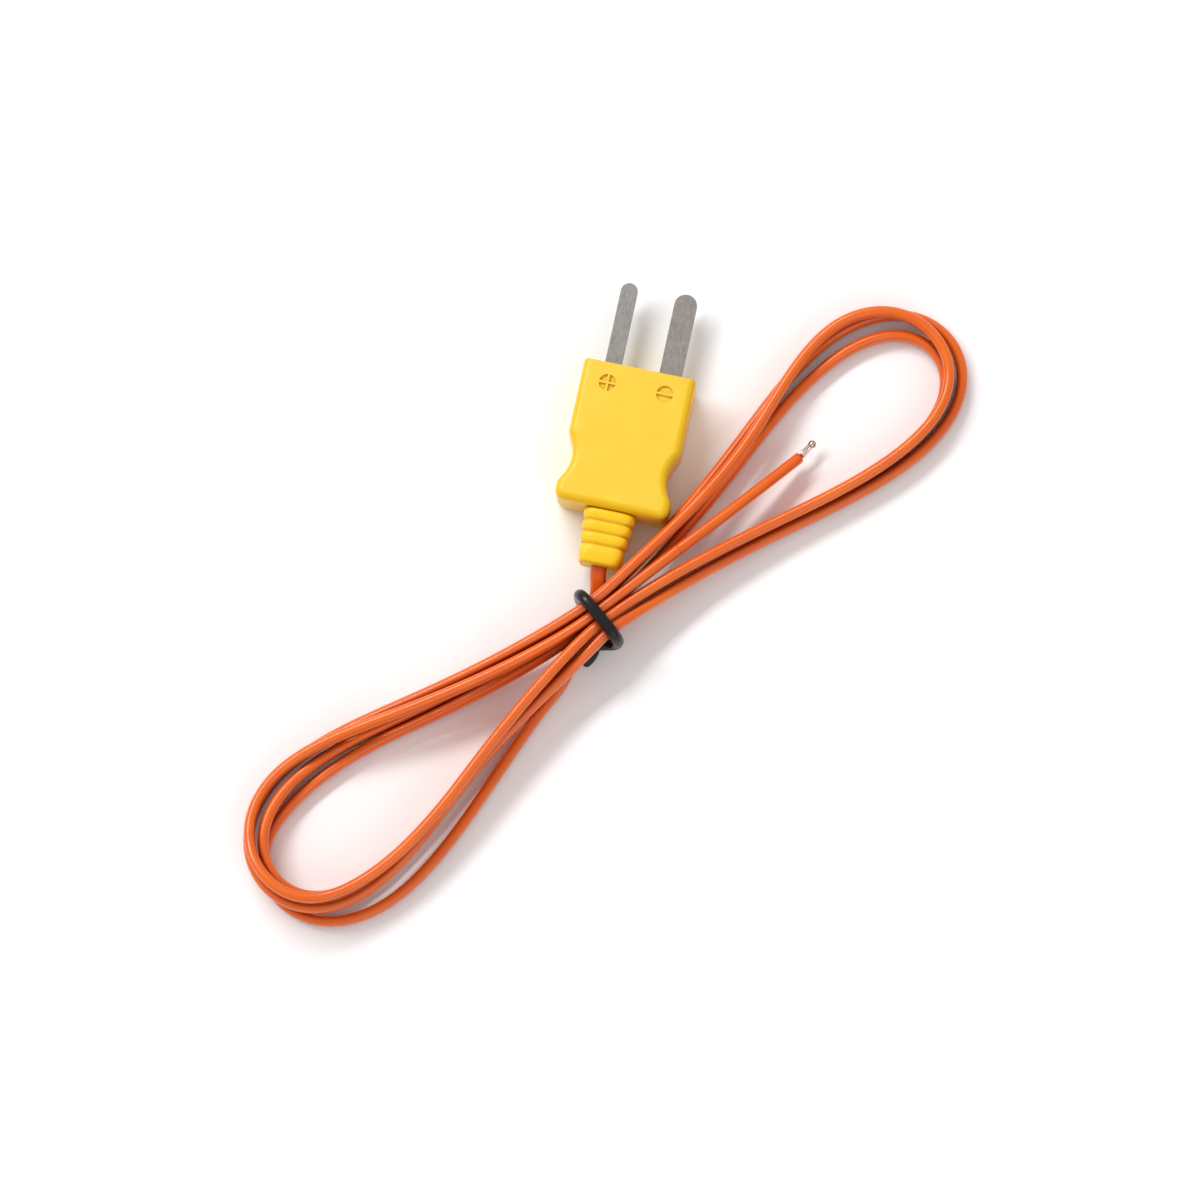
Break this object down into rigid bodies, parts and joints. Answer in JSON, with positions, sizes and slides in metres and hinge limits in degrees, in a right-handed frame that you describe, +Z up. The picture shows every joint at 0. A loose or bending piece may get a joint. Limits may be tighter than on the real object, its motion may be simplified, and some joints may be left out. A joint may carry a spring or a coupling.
{
  "type": "thermocouple",
  "caption": "Coiled two-core thermocouple lead with a flat-blade miniature plug at one end, a welded measuring bead at the other and a twist tie round the coil.",
  "frame": {"origin": "middle of the plug's mating face, halfway between the two blades", "axes": "+Y out along the blades, +X towards the wide negative blade, +Z up from the table the plug and coil lie on"},
  "size_m": [0.0828, 0.0986, 0.0097],
  "materials": {
    "plug_moulding": "fine moulded texture",
    "carrier_moulding": "plain",
    "boot_rubber": "satin",
    "chromel_blade": "fine lengthwise brushing",
    "alumel_blade": "fine lengthwise brushing",
    "cable_jacket": "extruded, slightly glossy",
    "positive_core": "extruded",
    "negative_core": "extruded",
    "thermocouple_wire": "drawn",
    "weld_metal": "as welded",
    "tie_plastic": "satin",
    "tie_steel": "drawn"
  },
  "bodies": {
    "coil": {"coil_jacket": "cable_jacket", "coil_positive_insulation": "positive_core", "coil_negative_insulation": "negative_core", "coil_positive_wire": "thermocouple_wire", "coil_negative_wire": "thermocouple_wire", "tie_coating": "tie_plastic", "tie_wire": "tie_steel"},
    "plug": {"plug_body": "plug_moulding", "pin_carrier": "carrier_moulding", "positive_blade": "chromel_blade", "negative_blade": "alumel_blade", "strain_relief_boot": "boot_rubber", "plug_jacket": "cable_jacket", "plug_positive_insulation": "positive_core", "plug_negative_insulation": "negative_core", "plug_positive_wire": "thermocouple_wire", "plug_negative_wire": "thermocouple_wire"},
    "tip": {"tip_jacket": "cable_jacket", "tip_positive_insulation": "positive_core", "tip_negative_insulation": "negative_core", "tip_positive_wire": "thermocouple_wire", "tip_negative_wire": "thermocouple_wire", "measuring_bead": "weld_metal"}
  },
  "joints": [
    {"name": "plug_lift", "type": "hinge", "parent": "coil", "child": "plug", "pos_m": [0, -0.0287, 0], "axis": [1, 0, 0], "range_deg": [0, 35]},
    {"name": "tip_lift", "type": "hinge", "parent": "coil", "child": "tip", "pos_m": [0.00839, -0.0251, 0.00229], "axis": [0.7826, -0.6225, 0], "range_deg": [0, 60]}
  ]
}
